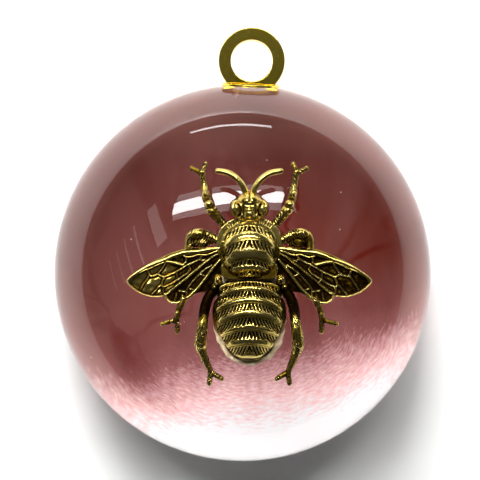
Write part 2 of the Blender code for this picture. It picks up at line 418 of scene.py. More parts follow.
# %% Paint coat
COAT_GAP = 0.05 * MM
COAT_START = 1.2 * MM
COAT_THICKNESS = 0.3 * MM
coat = turned_body("paint_coat", 192, 96, inset=-COAT_GAP)
slice_off(coat, (0, COAT_START, 0), (0, 1, 0), clear_inner=True)
for vert in coat.data.vertices:
    if vert.co.y < COAT_START + 0.1 * MM:
        place = vert.co * 260
        vert.co.y += 0.9 * MM * noise.noise(place) + 0.4 * MM * noise.noise(place * 3)
outer_points = len(coat.data.vertices)
thickness = coat.modifiers.new("thickness", "SOLIDIFY")
thickness.thickness = COAT_THICKNESS
thickness.offset = -1
apply_modifiers(coat)
bpy.ops.object.shade_smooth_by_angle(angle=math.radians(40))
inner_side = coat.data.attributes.new("inner_side", "FLOAT", "POINT")
inner_side.data.foreach_set("value", [float(number >= outer_points) for number in range(len(coat.data.vertices))])
print("paint coat", triangles(coat))

# %% [markdown]
# The paint was brushed round the rim in short strokes. A noise stretched along the circle gives
# strokes: the angle goes in slowly and the distance from the middle goes in fast. A second, broad noise
# gives cloudy patches. Both are put out of one group as values.

# %% Brush strokes
SLOW, FAST = 17.0, 120.0
brush, brush_in, brush_out = new_group("brush_strokes", [("Place", "NodeSocketVector")], ["Strokes", "Patches"])
place = brush_in.outputs["Place"]
across, up = across_and_up(brush, place)
squares = [math_node(brush, "POWER", axis, 2.0) for axis in (across, up)]
radius = math_node(brush, "SQRT", plus(brush, *squares))
turn = math_node(brush, "ARCTAN2", across, times(brush, up, -1.0))
wander = plus(brush, radius, times(brush, noise_node(brush, place, 4.0, 2.0), 0.07))
strokes_at = node(brush, "CombineXYZ", {"X": times(brush, turn, SLOW), "Y": times(brush, wander, FAST)})
patches_at = node(brush, "Mapping", {"Vector": place, "Scale": (3.4, 1.0, 1.5), "Rotation": (0, math.radians(12), 0)})
patches = noise_node(brush, patches_at, 1.1, 3.0, 0.5, 0.8)
fill(brush, brush_out, {"Strokes": noise_node(brush, strokes_at, 1.0, 5.0, 0.62, 0.12),
                        "Patches": map_range(brush, patches, 0.32, 0.68)})

# %% [markdown]
# The coat runs from a deep red-brown at the top, through rose, to milky white at the lower right. This
# slope is painted light: the deep red is painted shade on the upper coat, and the milky white is a painted
# pool of light at the lower right, where light from above gathers through the dome. Two ramps along that
# slope do this, and the strokes are added to the slope first, so that one colour is dragged into the next.
# Thin, dark red cracks wander through the dark part, which are the borders of Voronoi cells on bent
# coordinates. The red is also painted paler towards the crown, and the coat paler near its edge, most of
# all at the top: both are painted light.

# %% Brushed pink paint
# The deep and warm reds are painted shade, the milky white is a painted pool of light, and the crown pink and edge
# colours are painted light.
DEEP_RED, WARM_RED, CRACK_RED = (0.130, 0.026, 0.018), (0.186, 0.058, 0.050), (0.105, 0.006, 0.002)
CROWN_PINK, DUSKY_ROSE, ROSE = (0.42, 0.17, 0.14), (0.66, 0.30, 0.33), (0.97, 0.345, 0.335)
POOLED_LIGHT_WHITE, EDGE_PINK, EDGE_WHITE = (1.0, 0.98, 0.99), (0.82, 0.36, 0.30), (1.0, 0.99, 1.0)
DOWN_RIGHT = (0.17, 0.0, -0.95)
pink_paint, tree, shader = new_material("pink_paint")
place = centred(tree)
across, up = across_and_up(tree, place)
marks = node(tree, "Group", {"Place": place}, node_tree=brush).node.outputs
flat_place = node(tree, "VectorMath", {0: place, 1: (1.0, 0.0, 1.0)}, operation="MULTIPLY")
from_middle = node(tree, "VectorMath", {0: flat_place}, "Value", operation="LENGTH")
near_edge = map_range(tree, from_middle, 0.63, 0.78, eased=True)

ragged = minus(tree, marks["Strokes"], 0.5)
cloudy = minus(tree, marks["Patches"], 0.5)
down = node(tree, "VectorMath", {0: place, 1: DOWN_RIGHT}, "Value", operation="DOT_PRODUCT")
# Painted light: the slope runs from painted shade at the top to a painted pool of light at the lower right.
painted_shade_to_light = plus(tree, plus(tree, down, times(tree, cloudy, 0.06)), times(tree, near_edge, 0.09))

leftness = minus(tree, marks["Patches"], times(tree, across, 0.65))
leftness = plus(tree, leftness, times(tree, up, 0.6), clamp=True)
# Painted light: the shaded red grows paler towards the crown.
painted_crown_light = map_range(tree, up, 0.44, 0.74, to_high=0.8, eased=True)
dark = mix_colour(tree, painted_crown_light, mix_colour(tree, leftness, DEEP_RED, WARM_RED), CROWN_PINK)

bend = times(tree, minus(tree, noise_node(tree, place, 2.6, 3.0), 0.5), 0.55)
warped = node(tree, "VectorMath", {0: place, 1: bend}, operation="ADD")
borders = voronoi_node(tree, warped, 2.1, "DISTANCE_TO_EDGE")
here = map_range(tree, noise_node(tree, place, 2.2, 2.0), 0.44, 0.58)
crack = times(tree, map_range(tree, borders, 0.045, 0.0, eased=True), here)
crack = times(tree, crack, minus(tree, 1.2, leftness), clamp=True)
dark = mix_colour(tree, crack, dark, CRACK_RED)

rose = mask_ramp(tree, plus(tree, painted_shade_to_light, times(tree, ragged, 0.10)),
                 (0.04, 0.0), (0.24, 0.06), (0.34, 0.18), (0.43, 0.57), (0.53, 1.0))
# The painted pool of light at the lower right, with ragged brushed edges.
painted_light_pool = mask_ramp(tree, plus(tree, painted_shade_to_light, times(tree, ragged, 0.38)),
                 (0.36, 0.0), (0.47, 0.22), (0.57, 0.65), (0.65, 1.0))
colour = mix_colour(tree, rose, dark, mix_colour(tree, rose, DUSKY_ROSE, ROSE))
colour = mix_colour(tree, painted_light_pool, colour, POOLED_LIGHT_WHITE)
# Painted light round the rim, strongest towards the top, on the inner skin only.
painted_edge_light = times(tree, near_edge, map_range(tree, up, 0.15, 0.92, to_low=0.3))
painted_edge_light = times(tree, painted_edge_light, node(tree, "Attribute", {}, "Fac", attribute_name="inner_side"))
colour = mix_colour(tree, painted_edge_light, colour, mix_colour(tree, painted_light_pool, EDGE_PINK, EDGE_WHITE))
fill(tree, shader, {"Base Color": colour, "Roughness": 0.65, "Specular IOR Level": 0.0})
coat.data.materials.append(pink_paint)
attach(coat, "root")
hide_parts("pink_backing")

# %% [markdown]
# The bee is one cast piece of brass, glued on the front of the dome. A founder would carve a wax for it.
# The same is done here, in millimetres with the bee's back lying in one plane: balls, rods and flat
# slabs are laid over each other as lumps of wax, and later melted together.

# %% Balls, rods and slabs
def smooth(low, high, value):
    """0 below low, 1 above high, and a smooth rise between."""
    t = np.clip((value - low) / (high - low), 0.0, 1.0)
    return t * t * (3 - 2 * t)


def ball(centre, radii, segments=32, rings=20, turn=0.0):
    """An ellipsoid: centre is across, out from the back, and up; turn leans it in the plane of the back."""
    bpy.ops.mesh.primitive_uv_sphere_add(segments=segments, ring_count=rings, radius=1.0)
    obj = bpy.context.object
    obj.scale = radii
    obj.rotation_euler = (0, math.radians(turn), 0)
    obj.location = (centre[0], -centre[1], centre[2])
    return apply_place(obj)


def curve_mesh(curve, points, resolution, closed):
    """Run a NURBS line through (x, y, z, radius) points and turn the curve into a mesh."""
    spline = curve.splines.new("NURBS")
    spline.points.add(len(points) - 1)
    spline.use_cyclic_u = closed
    spline.use_endpoint_u = not closed
    spline.order_u = 3
    spline.resolution_u = resolution
    for point, (x, y, z, radius) in zip(spline.points, points):
        point.co = (x, y, z, 1)
        point.radius = radius
    only(added(curve.name, curve))
    bpy.ops.object.convert(target="MESH")
    return bpy.context.object


def rod(points, lift=0.6):
    """A round rod through (across, up, radius) points. A fourth number is the height of the rod's middle
    there, which is otherwise lift times the radius."""
    curve = bpy.data.curves.new("rod", "CURVE")
    curve.dimensions = "3D"
    curve.bevel_depth = 1.0
    curve.bevel_resolution = 4
    curve.use_fill_caps = True
    raised = [(across, more[0] if more else lift * radius, up, radius) for across, up, radius, *more in points]
    obj = weld(curve_mesh(curve, [(across, -height, up, radius) for across, height, up, radius in raised], 6, False))
    return [obj] + [ball((across, height, up), (radius,) * 3, 16, 10)
                    for across, height, up, radius in (raised[0], raised[-1])]


def slab(outline, low, high):
    """A flat plate cut to an outline of (across, up) points, between two heights above the back."""
    curve = bpy.data.curves.new("slab", "CURVE")
    curve.dimensions = "2D"
    curve.fill_mode = "BOTH"
    curve.extrude = (high - low) / 2
    obj = curve_mesh(curve, [(across, up, 0, 1) for across, up in outline], 5, True)
    obj.rotation_euler = (math.pi / 2, 0, 0)
    obj.location = (0, -(low + high) / 2, 0)
    return weld(apply_place(obj))

# %% [markdown]
# Boolean unions of so many lumps would leave sharp creases where they meet. A voxel remesh melts them
# into one skin with soft joins, and a little smoothing takes off the steps that the voxels leave.

# %% Melting the lumps together
def melted(pieces, name, voxel, passes=2):
    """Join the pieces, melt them into one skin, and soften the steps that the voxels leave."""
    bpy.ops.object.select_all(action="DESELECT")
    for piece in pieces:
        piece.select_set(True)
    bpy.context.view_layer.objects.active = pieces[0]
    bpy.ops.object.join()
    obj = named(bpy.context.object, name)
    remesh = obj.modifiers.new("melt", "REMESH")
    remesh.mode = "VOXEL"
    remesh.voxel_size = voxel
    remesh.use_smooth_shade = True
    soften = obj.modifiers.new("soften", "SMOOTH")
    soften.factor = 0.5
    soften.iterations = passes
    apply_modifiers(obj)
    return obj

# %% [markdown]
# The fine relief is far too small to shape by hand with edit-mode tools, so it is carved by moving the
# points of the melted skin in and out. These helpers read the points, move them, average them with
# their neighbours, and keep a number at each point for a material to read.

# %% Moving points
def per_point(obj, what):
    values = np.empty(len(obj.data.vertices) * 3)
    obj.data.vertices.foreach_get(what, values)
    return values.reshape(-1, 3)


def points_of(obj):
    return per_point(obj, "co")


def normals_of(obj):
    return per_point(obj, "normal")


def move_points(obj, places):
    obj.data.vertices.foreach_set("co", places.reshape(-1))
    obj.data.update()


def push_out(obj, amount):
    """Move each point out along its normal."""
    move_points(obj, points_of(obj) + normals_of(obj) * amount[:, None])


def line_at(value, middle, width):
    """1 where the value is at the middle, falling away over about its width."""
    return np.exp(-((value - middle) / width) ** 2)


def oval(places, middle_up, half_width, half_height):
    """How far out each point lies in an oval on the bee's middle line. The oval itself is at 1."""
    return np.sqrt((places[:, 0] / half_width) ** 2 + ((places[:, 2] - middle_up) / half_height) ** 2)


def squeeze_end(obj, end, share, side):
    """Press the part of a body that lies past its end, below (side -1) or above (side 1), to a share."""
    places = points_of(obj)
    past = places[:, 2] - end
    places[:, 2] = np.where(side * past > 0, end + past * share, places[:, 2])
    move_points(obj, places)


def noise_at(places, size=1.0, shift=(0, 0, 0)):
    """A smooth random number at each point, in lumps of about the given size."""
    shift = Vector(shift)
    return np.array([noise.noise(Vector(p) / size + shift) for p in places])


def averaged(obj, values, rounds):
    """Each point's value mixed with its neighbours', again and again."""
    ends = np.empty(len(obj.data.edges) * 2, dtype=np.int64)
    obj.data.edges.foreach_get("vertices", ends)
    ends = ends.reshape(-1, 2)
    count = np.bincount(ends.reshape(-1), minlength=len(values)).astype(float)
    count[count == 0] = 1
    for _ in range(rounds):
        total = np.zeros_like(values)
        np.add.at(total, ends[:, 0], values[ends[:, 1]])
        np.add.at(total, ends[:, 1], values[ends[:, 0]])
        values = 0.3 * values + 0.7 * (total / count[:, None])
    return values


def remember(obj, name, values):
    """Keep a number at every point, for a material to read."""
    layer = obj.data.attributes.new(name, "FLOAT", "POINT")
    layer.data.foreach_set("value", np.asarray(values, dtype=np.float32))

# %% [markdown]
# Old brass is dark where a cloth can't reach. A point is in a hollow when it lies below the average of
# the points around it, and that difference is kept in an attribute for the material. Painted shade is
# added to the same number: points close to the back, where the bee meets the dome, and faces turned
# side-on or away from the front are made darker. Ambient occlusion in the material would do it too, but
# it is slow and an exported model loses it. The casting's flat back is cut here as well, and a slight
# lumpiness is added, as sand or wax leaves it.

# %% Hollows, flat back and casting grain
def mark_hollows_and_shade(obj, reach, rounds, extra=0.0, shade=0.22):
    """Mark how sunk each point is below its surroundings, with painted shade added: 0.5 is level, 1 is deep, 0 is a
    rubbed edge.
    """
    places, normals = points_of(obj), normals_of(obj)
    sunk = np.einsum("ij,ij->i", averaged(obj, places.copy(), rounds) - places, normals)
    height = np.clip(-places[:, 1], 0, None)
    # Painted shade: darker close to the back, where the bee meets the dome, and on faces turned side-on or away from
    # the front.
    value = 0.5 + 0.5 * sunk / reach + shade * (1 - smooth(0.1, 1.3, height))
    value = value + 0.5 * shade * smooth(0.5, 1.0, 1 + normals[:, 1]) + extra
    if "bias" in obj.data.attributes:
        bias = np.empty(len(places), dtype=np.float32)
        obj.data.attributes["bias"].data.foreach_get("value", bias)
        obj.data.attributes.remove(obj.data.attributes["bias"])
        value = value + bias
    remember(obj, "hollow_and_shade", np.clip(value, 0, 1))
    return obj


def cut_back(obj):
    """Cut the casting's back off flat and close it."""
    return slice_off(obj, (0, 0, 0), (0, 1, 0), clear_outer=True, use_fill=True)


def cast_grain(obj, amount, size):
    """The slight lumpiness of a sand or wax casting."""
    places = points_of(obj)
    push_out(obj, noise_at(places, size) * amount * smooth(-0.02, 0.3, -places[:, 1]))


def set_on_dome(obj):
    """From the bee's own millimetres to its place on the dome."""
    obj.data.transform(Matrix.Translation((BEE_X, BEE_BACK_Y, DOME_Z)) @ Matrix.Scale(MM, 4))
    only(obj)
    bpy.ops.object.shade_smooth()
    return obj

# %% [markdown]
# The bee's fur is a set of rows. Each row has short engraved strokes that fan outwards, and below them
# a smooth polished roll. Every point finds its row by how far down the body it is, and its stroke by
# how far across, and is then cut in or lifted. Each stroke is also marked as dark at the bottom.

# %% Engraved fur
HAIRS = 200
SLANT = 0.36
CUT = 0.36


def engraved_bands(obj, middle_up, rows, arch, half_width, pitch, ridge, face, seed):
    """Rows of engraved hair strokes, each above a smooth arched roll. A row is (start, end of strokes, end),
    in millimetres down the body from middle_up. The strokes lie pitch apart, and only where face is 1."""
    places, normals = points_of(obj), normals_of(obj)
    across = np.abs(places[:, 0])
    down = middle_up - places[:, 2] - arch * (places[:, 0] / half_width) ** 2
    random = np.random.default_rng(seed)
    lift = np.zeros(len(places))
    bias = np.zeros(len(places))
    for start, strokes_end, end in rows:
        part = (down - start) / (end - start)
        inside = (part >= 0) & (part < 1)
        run = np.clip(down - start, 0, None)
        number = (across - SLANT * run * (0.45 + across / half_width) - 0.10 * run ** 2) / pitch
        jitter = random.uniform(-0.3, 0.3, HAIRS)
        index = np.clip(np.round(number).astype(int) + HAIRS // 2, 0, HAIRS - 1)
        length = (strokes_end - start) * (1.0 + 0.55 * jitter[index])
        gap = smooth(0.34, 0.70, 0.5 + 0.5 * np.cos(2 * np.pi * number))
        window = smooth(0.0, 0.10, run) * (1 - smooth(0.72, 1.05, run / np.maximum(length, 0.01)))
        roll = smooth(0.25, 0.68, part) * (1 - smooth(0.74, 1.0, part))
        lift += inside * (ridge * roll - CUT * gap * window - 0.35 * CUT * window)
        bias += inside * (0.66 * gap * window + 0.04 * window - 0.20 * roll)
    facing = smooth(0.05, 0.5, -normals[:, 1]) * face(places)
    push_out(obj, lift * facing)
    remember(obj, "bias", bias * facing)

# %% [markdown]
# The thorax is a round swelling on a thin flange. It carries four rows of fur, a groove and a rim round
# them, and a fringe of short cuts on the flange where the head meets it.

# %% Thorax
BODY_VOXEL = 0.085
WAIST = -0.35
FLANGE = [(6.0, 5.8), (5.7, 7.9), (4.6, 9.5), (2.6, 10.6), (0, 11.0)]
thorax = melted([ball((0, -0.4, 5.0), (5.45, 5.4, 5.4), 64, 40), ball((0, -0.4, 3.0), (5.35, 5.0, 4.0), 48, 30),
                 slab([(-4.5, -0.9), (4.5, -0.9), (5.2, 0.8), (5.0, 3.0), (-5.0, 3.0), (-5.2, 0.8)], -0.5, 2.2),
                 slab([(-across, up) for across, up in FLANGE] + FLANGE[-2::-1]
                      + [(5.6, 3.6), (4.2, 2.0), (-4.2, 2.0), (-5.6, 3.6)], -0.5, 1.3)], "bee_thorax", BODY_VOXEL, 5)
squeeze_end(thorax, WAIST, 0.25, -1)


def thorax_face(places):
    """1 on the dome of the thorax, 0 on its rim and outside it."""
    out = (np.abs(places[:, 0]) / 5.0) ** 2.3 + (np.abs(places[:, 2] - 4.6) / 5.1) ** 2.3
    return 1 - smooth(0.84, 0.98, out)


engraved_bands(thorax, 10.1, [(0.85, 2.05, 3.35), (3.45, 4.95, 6.95), (7.05, 8.0, 9.0), (9.1, 9.7, 10.3)],
               arch=2.1, half_width=4.9, pitch=0.70, ridge=0.12, face=thorax_face, seed=4)
places = points_of(thorax)
out = oval(places, 4.7, 4.95, 5.05)
rim = smooth(1.0, 4.0, places[:, 2]) * (0.16 * line_at(out, 1.035, 0.02) - 0.12 * line_at(out, 0.985, 0.018))
around = np.degrees(np.arctan2(places[:, 0], places[:, 2] - 4.7))
fringe = (smooth(0.3, 0.8, 0.5 + 0.5 * np.cos(around * 2 * np.pi / 5.2)) * smooth(1.06, 1.10, out)
          * (1 - smooth(1.2, 1.3, out)) * (np.abs(around) < 42))
push_out(thorax, rim - 0.10 * fringe)
cast_grain(thorax, 0.03, 0.9)
cut_back(thorax)
places = points_of(thorax)
flange = smooth(4.5, 7.0, places[:, 2]) * (1 - thorax_face(places)) * smooth(0.6, 1.0, -places[:, 1])
mark_hollows_and_shade(thorax, 0.16, 14, -0.22 * flange - 0.06)
print("thorax", triangles(thorax))

# %% [markdown]
# The abdomen is a taller egg, pointed at the tail, with six rows of fur. A groove and a raised lip run
# round its lower half. It is made as the thorax is, so that the two read as one casting.

# %% Abdomen
ABDOMEN_TOP = -0.85
abdomen = melted([ball((0, -0.3, -7.1), (6.75, 5.7, 6.7), 64, 40), ball((0, -0.3, -9.5), (5.35, 5.0, 6.1), 64, 40),
                  ball((0, -0.3, -3.2), (6.0, 5.0, 3.2), 48, 24),
                  slab([(-4.9, -0.85), (4.9, -0.85), (6.0, -3.2), (-6.0, -3.2)], -0.4, 2.6)],
                 "bee_abdomen", BODY_VOXEL, 5)
squeeze_end(abdomen, ABDOMEN_TOP, 0.1, 1)


def abdomen_face(places):
    """1 on the abdomen, 0 outside the groove round it."""
    return 1 - smooth(0.93, 1.0, oval(places, -6.9, 6.3, 8.4))


engraved_bands(abdomen, -0.75, [(0.05, 0.95, 1.65), (1.70, 2.75, 3.85), (3.92, 5.35, 6.35), (6.42, 7.85, 8.85),
                                (8.90, 10.35, 11.55), (11.6, 13.2, 14.2)],
               arch=1.75, half_width=5.6, pitch=0.60, ridge=0.20, face=abdomen_face, seed=9)
places = points_of(abdomen)
out = oval(places, -6.9, 6.3, 8.45)
push_out(abdomen, smooth(3.0, 5.5, -places[:, 2]) * 0.16 * (line_at(out, 1.03, 0.022) - line_at(out, 0.975, 0.016)))
cast_grain(abdomen, 0.025, 0.9)
mark_hollows_and_shade(cut_back(abdomen), 0.16, 14)
print("abdomen", triangles(abdomen))

# %% [markdown]
# The head is a broad lump with two ringed eyes, a ribbed face between them, and two bumps where the
# antennae start. The large forms are balls, and the rings, ribs and grooves are pushed in afterwards.

# %% Head
head_pieces = [ball((0, -0.2, 12.55), (3.45, 3.5, 2.55), 48, 30), ball((0, 0.4, 13.6), (2.5, 3.2, 1.7)),
               ball((0, 1.6, 11.6), (1.35, 2.0, 1.7)), ball((0, 0.5, 11.0), (2.7, 2.6, 1.35))]
for side in (-1, 1):
    head_pieces += [ball((side * 2.4, 0.8, 12.2), (1.2, 2.25, 1.7), turn=side * 12),
                    ball((side * 0.75, 2.6, 13.9), (0.62, 0.75, 0.62), 20, 12),
                    ball((side * 0.55, 0.9, 15.0), (0.75, 0.9, 0.55), 20, 12),
                    ball((side * 1.25, 2.3, 12.9), (0.55, 0.8, 0.7), 20, 12)]
head = melted(head_pieces, "bee_head", 0.075)
places, normals = points_of(head), normals_of(head)
across, up = places[:, 0], places[:, 2]
push = np.zeros(len(places))
for side in (-1, 1):
    eye = np.sqrt(((across - side * 2.2 - side * 0.15 * (up - 12.2)) / 0.62) ** 2 + ((up - 12.15) / 1.05) ** 2)
    push += 0.14 * np.exp(-(eye / 0.7) ** 4) - 0.24 * line_at(eye, 1.02, 0.17) + 0.10 * line_at(eye, 1.5, 0.2)
face = np.exp(-(across / 0.85) ** 4) * smooth(9.9, 10.3, up) * (1 - smooth(12.6, 12.9, up))
push += face * 0.05 * np.cos(2 * np.pi * (up - 10.2) / 0.62)
push -= 0.14 * line_at(np.abs(across), 1.15, 0.16) * smooth(10, 10.6, up) * (1 - smooth(12.8, 13.2, up))
push -= 0.25 * line_at(across, 0.0, 0.22) * smooth(13.2, 13.6, up)
push_out(head, push * smooth(0.0, 0.4, -normals[:, 1]))
cast_grain(head, 0.05, 0.7)
cut_back(head)
mark_hollows_and_shade(head, 0.13, 14, -0.14 * smooth(1.0, 2.0, -points_of(head)[:, 1]))

# %% [markdown]
# Legs and antennae are rods that swell at the joints, with two claws at each foot. A rod is a NURBS
# curve with a radius at each point, which is quicker to shape than a mesh tube. Each leg is melted
# into one piece with its lumps, and in places it gets slanting cuts, as hair. The points are given for
# the right side only, as (across, up, radius) and sometimes a height, and mirrored for the left.

# %% Legs and antennae
def leg(name, side, runs, lumps=(), hairy=0.11, lumpy=0.05, shadow=0.0, rub=0.08):
    """A leg or antenna. Its rods and lumps are given for the right, and side is -1 to mirror them."""
    pieces = []
    for run in runs:
        pieces += rod([(side * point[0], *point[1:]) for point in run])
    for (across, out, up), radii, *turn in lumps:
        pieces.append(ball((side * across, out, up), radii, 20, 12, side * turn[0] if turn else 0.0))
    made = melted(pieces, name, BODY_VOXEL, 3)
    places, normals = points_of(made), normals_of(made)
    slanting = 0.6 * places[:, 2] + 1.1 * np.abs(places[:, 0]) + 0.5 * noise_at(places, 0.9)
    bare = smooth(-0.15, 0.25, noise_at(places, 2.2, (7, 3, 5)))
    hair = smooth(0.1, 0.9, np.cos(2 * np.pi * slanting / 0.55))
    cut = hair * (1 - bare) * smooth(0.0, 0.5, -normals[:, 1])
    push_out(made, -hairy * cut)
    remember(made, "bias", 3.5 * hairy * cut)
    cast_grain(made, lumpy, 0.7)
    up = points_of(cut_back(made))[:, 2]
    return mark_hollows_and_shade(made, 0.10, 10, -rub + shadow * smooth(-8.0, -6.0, up) * (1 - smooth(-2.6, -1.6, up)))


FRONT = [
    [(3.9, 8.4, 0.7), (4.8, 9.6, 0.75), (5.9, 10.9, 0.95), (7.0, 12.2, 1.05), (7.5, 13.3, 0.75), (7.8, 14.4, 0.9),
     (8.1, 15.8, 0.72), (8.3, 17.0, 0.52), (8.5, 18.2, 0.55), (8.6, 19.0, 0.6)],
    [(8.6, 18.7, 0.52), (8.4, 19.7, 0.46), (8.0, 20.5, 0.4)],
    [(8.7, 18.8, 0.52), (9.6, 19.2, 0.46), (10.5, 19.7, 0.44)],
]
FRONT_LUMPS = [((7.3, 1.1, 13.1), (0.9, 1.1, 0.85)), ((6.9, 1.0, 11.9), (1.0, 0.9, 0.8)),
               ((7.9, 0.9, 14.9), (0.75, 0.9, 0.8))]
MIDDLE = [
    [(5.4, 6.2, 0.75), (6.6, 7.0, 0.85), (8.4, 7.8, 0.95), (9.9, 7.9, 0.95), (10.7, 7.3, 0.85), (11.1, 6.2, 0.75),
     (11.0, 4.9, 0.8)],
    [(6.2, 6.3, 0.45), (8.0, 7.0, 0.5), (9.8, 6.9, 0.55)],
    [(12.0, -4.2, 0.62), (12.6, -5.4, 0.66), (12.9, -6.2, 0.5), (13.15, -7.1, 0.62), (13.25, -8.1, 0.5)],
    [(13.2, -7.9, 0.48), (13.15, -9.2, 0.5), (13.15, -10.1, 0.45)],
    [(13.3, -7.9, 0.46), (14.6, -8.3, 0.46), (15.9, -8.7, 0.42)],
]
MIDDLE_LUMPS = [((8.9, 0.2, 6.4), (2.3, 0.8, 1.2)), ((9.4, 0.9, 7.8), (1.6, 1.1, 0.95), 10)]
HIND = [
    [(5.6, -1.3, 0.9), (7.0, -3.0, 0.95), (8.1, -5.2, 1.0), (8.4, -7.6, 0.95)],
    [(8.3, -7.2, 0.8, 1.3), (8.5, -9.2, 1.05, 1.6), (8.8, -11.2, 1.1, 1.4), (8.9, -12.6, 1.2), (8.4, -14.2, 0.78),
     (7.8, -15.8, 0.68), (7.2, -17.0, 0.55), (6.95, -17.9, 0.5)],
    [(7.0, -17.6, 0.5), (7.25, -18.8, 0.52), (7.3, -19.5, 0.5)],
    [(6.9, -17.5, 0.48), (5.9, -18.2, 0.5), (5.0, -18.7, 0.46)],
]
HIND_LUMPS = [((5.7, 2.3, -0.6), (0.85, 1.5, 1.0), -20), ((8.6, 1.5, -9.3), (0.9, 1.1, 2.0)),
              ((8.9, 1.1, -12.3), (1.15, 1.2, 1.0)), ((6.3, 1.6, -1.9), (0.6, 0.9, 0.7))]
ANTENNA = [
    [(0.55, 14.6, 0.68, 1.0), (0.85, 15.9, 0.6, 1.3), (1.9, 17.4, 0.6, 1.4), (3.2, 18.5, 0.6, 1.3),
     (4.6, 19.0, 0.6, 1.1), (5.7, 19.1, 0.55, 0.9)],
]
bee_parts = [thorax, abdomen, head]
for side, word in ((-1, "left"), (1, "right")):
    bee_parts += [leg("bee_front_leg_" + word, side, FRONT, FRONT_LUMPS),
                  leg("bee_middle_leg_" + word, side, MIDDLE, MIDDLE_LUMPS),
                  leg("bee_hind_leg_" + word, side, HIND, HIND_LUMPS, shadow=0.42),
                  leg("bee_antenna_" + word, side, ANTENNA, hairy=0.0, lumpy=0.03, rub=0.16)]

# %% [markdown]
# Each side has two wings, and the forewing lies over the hind wing. A wing is a thin plate whose floor
# is sunk between raised veins and a raised rim. Here are the outlines and the veins, as lines of
# (across, up) points in the bee's own millimetres. The number before each vein is its half-width.

# %% Wing outlines and veins
FOREWING = [(3.4, 5.6), (5.4, 5.5), (8.0, 5.2), (11.0, 5.2), (13.3, 4.6), (15.1, 3.85), (17.0, 2.95), (18.9, 1.9),
            (20.6, 0.85), (21.8, -0.1), (22.4, -0.8), (22.0, -1.5), (21.1, -2.3), (20.1, -3.0), (18.9, -3.5),
            (17.4, -3.8), (15.7, -3.7), (14.2, -2.9), (12.0, -1.0), (9.0, 1.3), (5.2, 3.6), (3.4, 4.2)]
HINDWING = [(3.4, 4.6), (8.0, 2.6), (12.5, -0.2), (15.5, -2.4), (15.6, -3.5), (15.3, -4.0), (14.8, -4.7),
            (14.1, -5.05), (13.1, -5.1), (11.9, -4.7), (10.8, -4.0), (9.7, -3.1), (8.8, -2.9), (7.9, -2.9),
            (6.6, -1.6), (4.8, 0.2), (3.4, 1.4)]
FORE_VEINS = [
    (0.34, [(5.0, 5.15), (7.4, 4.85), (9.4, 4.5), (11.8, 4.35), (13.9, 3.7), (15.1, 3.1), (17.0, 2.45),
     (18.7, 1.7), (20.2, 0.8), (21.5, -0.1), (22.0, -0.75)]),
    (0.15, [(5.5, 4.75), (7.8, 3.9), (8.7, 3.9), (9.2, 4.0), (10.8, 3.5), (11.5, 3.55), (11.9, 3.75)]),
    (0.15, [(11.5, 3.5), (11.5, 2.6), (12.3, 1.95)]),
    (0.22, [(12.3, 2.15), (13.8, 2.5), (15.0, 2.7)]),
    (0.14, [(9.1, 3.1), (10.2, 2.5), (11.3, 2.1), (12.3, 1.45), (13.3, 0.8), (14.5, 0.3), (15.5, -0.15),
     (16.3, 0.2), (16.6, 0.4), (17.0, 0.15), (17.8, 0.0), (18.2, 0.2), (18.4, 0.9), (18.7, 1.25)]),
    (0.12, [(15.2, 2.6), (15.7, 1.6), (16.5, 0.55)]),
    (0.13, [(15.5, 2.55), (17.0, 1.95), (18.0, 1.45), (18.7, 1.25), (19.8, 0.7)]),
    (0.16, [(5.3, 4.3), (6.8, 3.5), (8.0, 2.6), (9.0, 1.8), (10.5, 0.55), (11.8, -0.6), (13.1, -1.6),
     (14.2, -2.5), (15.5, -3.3)]),
    (0.13, [(8.7, 3.85), (9.0, 3.1), (8.5, 2.8), (8.0, 2.95)]),
    (0.12, [(11.1, 2.1), (10.8, 1.3), (11.3, 0.5), (12.3, -0.1), (13.1, -0.6), (13.8, -1.1), (14.7, -1.6),
     (15.6, -1.95)]),
    (0.12, [(13.2, 0.5), (13.05, -0.6), (12.7, -1.0)]),
    (0.13, [(15.5, -0.15), (15.9, -1.1), (16.0, -1.6), (15.6, -1.95), (15.7, -2.5), (15.5, -3.3)]),
    (0.12, [(16.0, -1.6), (16.5, -1.9), (17.0, -2.6), (17.7, -3.2)]),
    (0.12, [(18.3, 0.0), (18.7, -0.7), (19.4, -1.6), (19.8, -2.4)]),
    (0.17, [(14.4, -2.95), (15.7, -3.6), (17.4, -3.7), (18.9, -3.4), (20.0, -2.9), (21.0, -2.25), (21.8, -1.5),
     (22.1, -0.9)]),
]
HIND_VEINS = [
    (0.24, [(5.3, 3.0), (6.7, 1.4), (8.3, -0.75), (9.6, -2.4), (10.8, -3.55), (11.8, -4.3), (13.1, -4.85),
     (14.2, -4.85), (15.0, -4.3), (15.4, -3.6)]),
    (0.13, [(6.8, 1.95), (7.9, 1.4), (9.0, 0.5), (10.0, -0.6), (10.9, -1.6), (11.4, -2.5), (11.4, -3.3),
     (11.5, -4.0)]),
    (0.12, [(6.7, 1.4), (7.0, 2.0)]),
    (0.12, [(8.2, 0.05), (8.9, 0.4)]),
    (0.12, [(10.2, -2.5), (10.9, -2.25)]),
    (0.12, [(11.6, -2.8), (12.8, -2.65)]),
    (0.12, [(13.3, -3.15), (13.4, -3.9), (13.7, -4.8)]),
    (0.12, [(12.2, -3.4), (12.5, -4.3)]),
]

print("veins", len(FORE_VEINS) + len(HIND_VEINS))

# %% [markdown]
# Veins could be rods laid on the plate, but then they would look stuck on. Instead every point of the
# plate rises by how near it is to a vein, so the veins grow out of the floor. The cells between them
# swell a little in the middle and are brighter towards the tip, partly as rubbed wear. On the left
# forewing that brightening is three times as strong, and the extra is a painted highlight.

